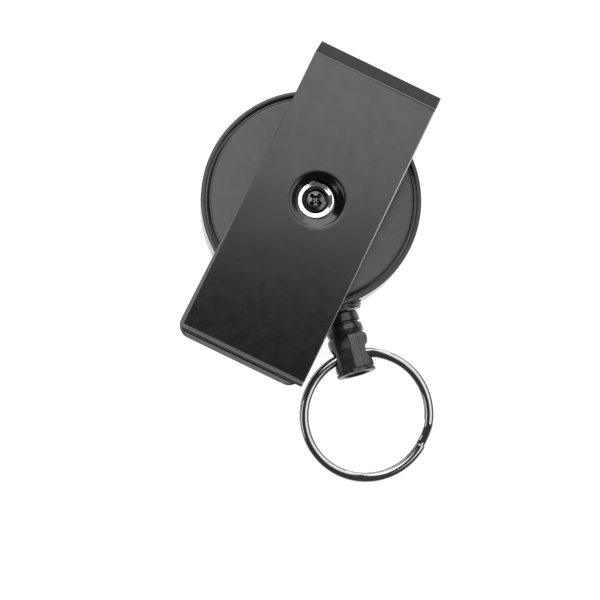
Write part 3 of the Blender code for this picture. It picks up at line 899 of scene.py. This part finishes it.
CORD_R = 0.5
WOUND_R = 15.7
LEAD_R = WOUND_R + 0.3 + CORD_R
LEAD_CORNER = Vector((0.0, -19.4))
CORD_AROUND = 24
CORD_STEP = 0.2
hub = Vector((SPINDLE.x, SPINDLE.y))
away = LEAD_CORNER - hub
leave = math.atan2(away.y, away.x) + math.acos(LEAD_R / away.length)
path = []
for k in range(16):
    angle = leave + math.radians(30 - 2 * k)
    path.append((hub.x + LEAD_R * math.cos(angle), hub.y + LEAD_R * math.sin(angle)))
tangent = path[-1]
bend = rounded([tangent, (*LEAD_CORNER, 2.0), (0.0, -FITTING_START)], steps=12)
path += bend[1:]
dense = []
for a, b in zip(path, path[1:]):
    size = math.dist(a, b)
    parts = max(1, math.ceil(size / CORD_STEP))
    dense += [tuple(Vector(a).lerp(Vector(b), k / parts)) for k in range(parts)]
spots = [Vector((x, y, CORD_Z)) for x, y in dense]
spots += [COCK_UP @ Vector((0.0, -FITTING_START - CORD_STEP * k, CORD_Z)) for k in range(27)]
bm = bmesh.new()
rows = []
for k, spot in enumerate(spots):
    ahead = (spots[min(k + 1, len(spots) - 1)] - spots[max(k - 1, 0)]).normalized()
    side = Vector((-ahead.y, ahead.x, 0.0)).normalized()
    up = side.cross(ahead) * -1
    row = []
    for j in range(CORD_AROUND):
        angle = 2 * math.pi * j / CORD_AROUND
        radius = CORD_R * (0.97 + 0.03 * math.cos(6 * angle))
        row.append(bm.verts.new(spot + side * radius * math.cos(angle) + up * radius * math.sin(angle)))
    rows.append(row)
for low, high in zip(rows, rows[1:]):
    for k in range(CORD_AROUND):
        n = (k + 1) % CORD_AROUND
        bm.faces.new([low[k], low[n], high[n], high[k]])
bm.faces.new(rows[0])
bm.faces.new(rows[-1])
lead = piece_from(bm, "cord_lead_braid", "cord", 60.0)
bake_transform(lead)
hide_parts("cord_lead")

# ---------------------------------------------------------------- carried-over nodes

for entry in frame["record"]["subparts"]:
    node = frame["nodes"][entry["node"]]
    node.data.materials.clear()
    node.data.materials.append(FINISHES[entry["material_slot"]])

# ---------------------------------------------------------------- stage, light, camera

scene = bpy.context.scene
scene.view_settings.view_transform = "Standard"
FLOOR_R = 6.0
FLOOR_BELOW = 0.0001

floor_mesh = bpy.data.meshes.new("floor")
bm = bmesh.new()
bmesh.ops.create_circle(bm, cap_ends=True, segments=96, radius=FLOOR_R)
bm.to_mesh(floor_mesh)
bm.free()
floor = bpy.data.objects.new("floor", floor_mesh)
floor.location.z = -FLOOR_BELOW
scene.collection.objects.link(floor)
paper = bpy.data.materials.new("paper")
paper.use_nodes = True
shader = paper.node_tree.nodes["Principled BSDF"]
shader.inputs["Base Color"].default_value = (0.25, 0.25, 0.25, 1.0)
shader.inputs["Roughness"].default_value = 0.9
shader.inputs["Specular IOR Level"].default_value = 0.1
shader.inputs["Emission Color"].default_value = (1.0, 1.0, 1.0, 1.0)
shader.inputs["Emission Strength"].default_value = 0.93
floor_mesh.materials.append(paper)

world = bpy.data.worlds.new("studio")
scene.world = world
world.use_nodes = True
world.node_tree.nodes["Background"].inputs["Color"].default_value = (1.0, 1.0, 1.0, 1.0)
world.node_tree.nodes["Background"].inputs["Strength"].default_value = 0.10

# The camera: its lean from straight above, the way it leans, its roll, and the point it looks at
TILT = math.radians(7.508)
TOWARD = math.radians(-129.331)
ROLL = math.radians(15.251)
AIM = Vector((-7.456, -19.067, 10.0)) * MM
CAMERA_AWAY = 0.6
CAMERA_LENS = 176.8
back = Vector((math.sin(TILT) * math.cos(TOWARD), math.sin(TILT) * math.sin(TOWARD), math.cos(TILT)))
right = Vector((math.sin(ROLL), math.cos(ROLL), 0.0)).cross(back).normalized()
up = back.cross(right)

# Level directions up the picture and to its right, for the lights
FLAT_UP = Vector((math.sin(ROLL), math.cos(ROLL), 0.0))
FLAT_RIGHT = Vector((math.cos(ROLL), -math.sin(ROLL), 0.0))


def panel(name, place, x, y, z, wide, tall, radiance):
    """A rectangular area light at `place`, its sides along x and y, shining along -z."""
    lamp = bpy.data.lights.new(name, "AREA")
    lamp.shape = "RECTANGLE"
    lamp.size = wide
    lamp.size_y = tall
    lamp.energy = radiance * math.pi * wide * tall
    holder = bpy.data.objects.new(name, lamp)
    holder.matrix_world = Matrix(
        (
            (x.x, y.x, z.x, place.x),
            (x.y, y.y, z.y, place.y),
            (x.z, y.z, z.z, place.z),
            (0, 0, 0, 1),
        )
    )
    holder.visible_camera = False
    scene.collection.objects.link(holder)


def slope(degrees):
    return math.tan(math.radians(degrees))


def overhead(name, leans_up, leans_right, height, radiance, turn):
    """A level panel that spans the leans, up the picture and to its right, in degrees."""
    low, high = (slope(lean) * height for lean in leans_up)
    start, end = (slope(lean) * height for lean in leans_right)
    spin = Matrix.Rotation(math.radians(-turn), 3, "Z")
    x = spin @ FLAT_RIGHT
    y = spin @ FLAT_UP
    place = y * (low + high) / 2 + x * (start + end) / 2 + Vector((0, 0, height))
    panel(name, place, x, y, Vector((0, 0, 1)), end - start, high - low, radiance)


def softbox(name, lean_up, lean_right, distance, wide, tall, radiance):
    """A panel that faces the object, leaning up the picture and to its right."""
    z = (Vector((0, 0, 1)) + FLAT_UP * slope(lean_up) + FLAT_RIGHT * slope(lean_right)).normalized()
    x = (FLAT_RIGHT - z * FLAT_RIGHT.dot(z)).normalized()
    panel(name, z * distance, x, z.cross(x), z, wide, tall, radiance)


overhead("key", (-3.3, 45.0), (-24.0, 6.0), 1.1, 3.3, 14.0)
softbox("back", 66.0, -12.0, 1.3, 1.9, 1.0, 3.6)
softbox("left", -28.0, -46.0, 1.2, 0.36, 0.6, 2.8)
softbox("right", 6.0, 36.0, 1.2, 0.75, 1.8, 2.4)

lens = bpy.data.cameras.new("camera")
lens.sensor_width = 36.0
lens.lens = CAMERA_LENS
lens.clip_start = 0.01
lens.clip_end = 50.0
camera = bpy.data.objects.new("camera", lens)
place = AIM + back * CAMERA_AWAY
camera.matrix_world = Matrix(
    (
        (right.x, up.x, back.x, place.x),
        (right.y, up.y, back.y, place.y),
        (right.z, up.z, back.z, place.z),
        (0, 0, 0, 1),
    )
)
scene.collection.objects.link(camera)
scene.camera = camera
